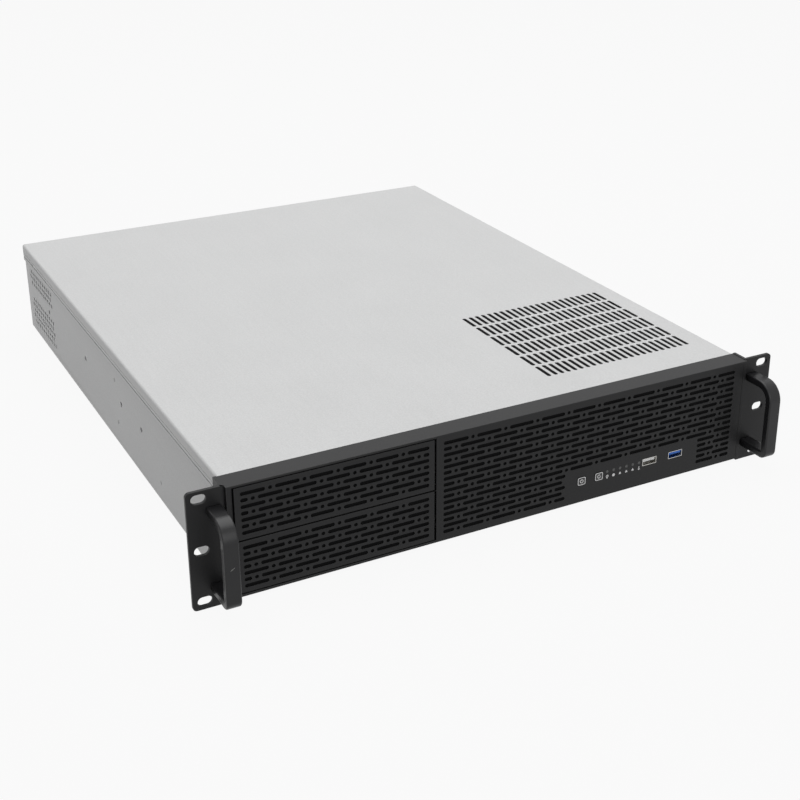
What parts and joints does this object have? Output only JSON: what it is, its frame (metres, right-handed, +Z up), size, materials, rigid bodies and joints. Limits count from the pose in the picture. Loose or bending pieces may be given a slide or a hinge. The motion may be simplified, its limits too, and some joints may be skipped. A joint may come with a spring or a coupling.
{
  "type": "rackmount server case",
  "caption": "Empty rackmount computer case with a slotted black front, drive bay covers, push buttons, data ports, bow handles, rack ears and a vented lid that slides off.",
  "frame": {"origin": "middle of the rack slots, in the plane of the rack ears' back faces", "axes": "+X to the viewer's right across the front, +Y to the rear of the case, +Z up"},
  "size_m": [0.4826, 0.5823, 0.088],
  "materials": {
    "zinc_sheet": "zinc-coated sheet, matte with a fine speckle",
    "black_paint": "fine-textured black powder coat",
    "handle_paint": "satin black coat",
    "brass_post": "turned",
    "black_plastic": "moulded",
    "button_plastic": "moulded",
    "circuit_board": "solder mask",
    "clear_lamp": "clear moulded light guide",
    "port_steel": "nickel-plated shell",
    "white_plastic": "moulded",
    "blue_plastic": "moulded",
    "screw_steel": "zinc-plated"
  },
  "bodies": {
    "case": {"chassis_tray": "zinc_sheet", "front_wall": "zinc_sheet", "front_sill": "zinc_sheet", "control_wall": "zinc_sheet", "front_upright_1": "zinc_sheet", "front_upright_2": "zinc_sheet", "front_upright_3": "zinc_sheet", "rear_panel": "zinc_sheet", "board_frame": "zinc_sheet", "bay_cage": "zinc_sheet", "drive_cage": "zinc_sheet", "supply_bracket": "zinc_sheet", "fan_wall": "zinc_sheet", "slot_cover_1": "zinc_sheet", "slot_cover_2": "zinc_sheet", "slot_cover_3": "zinc_sheet", "slot_cover_4": "zinc_sheet", "slot_cover_5": "zinc_sheet", "slot_cover_6": "zinc_sheet", "slot_cover_7": "zinc_sheet", "front_bezel": "black_paint", "bay_cover_lower": "black_paint", "bay_cover_upper": "black_paint", "rack_ear_left": "black_paint", "rack_ear_right": "black_paint", "handle_left": "handle_paint", "handle_right": "handle_paint", "board_posts": "brass_post", "power_inlet": "black_plastic", "board_standoffs": "black_plastic", "control_board": "circuit_board", "status_lamps": "clear_lamp", "first_port_shell": "port_steel", "second_port_shell": "port_steel", "first_port_tongue": "white_plastic", "second_port_tongue": "blue_plastic", "handle_screws": "screw_steel", "slot_screws": "screw_steel"},
    "cover": {"top_cover": "zinc_sheet", "cover_screws": "screw_steel"},
    "power_button": {"power_button": "button_plastic"},
    "reset_button": {"reset_button": "button_plastic"}
  },
  "joints": [
    {"name": "cover_slide", "type": "slide", "parent": "case", "child": "cover", "axis": [0, 1, 0], "range_m": [0, 0.54]},
    {"name": "power_press", "type": "slide", "parent": "case", "child": "power_button", "axis": [0, 1, 0], "range_m": [0, 0.001], "stiffness_N_per_m": 800, "springref_m": -0.0005},
    {"name": "reset_press", "type": "slide", "parent": "case", "child": "reset_button", "axis": [0, 1, 0], "range_m": [0, 0.001], "stiffness_N_per_m": 800, "springref_m": -0.0005}
  ]
}
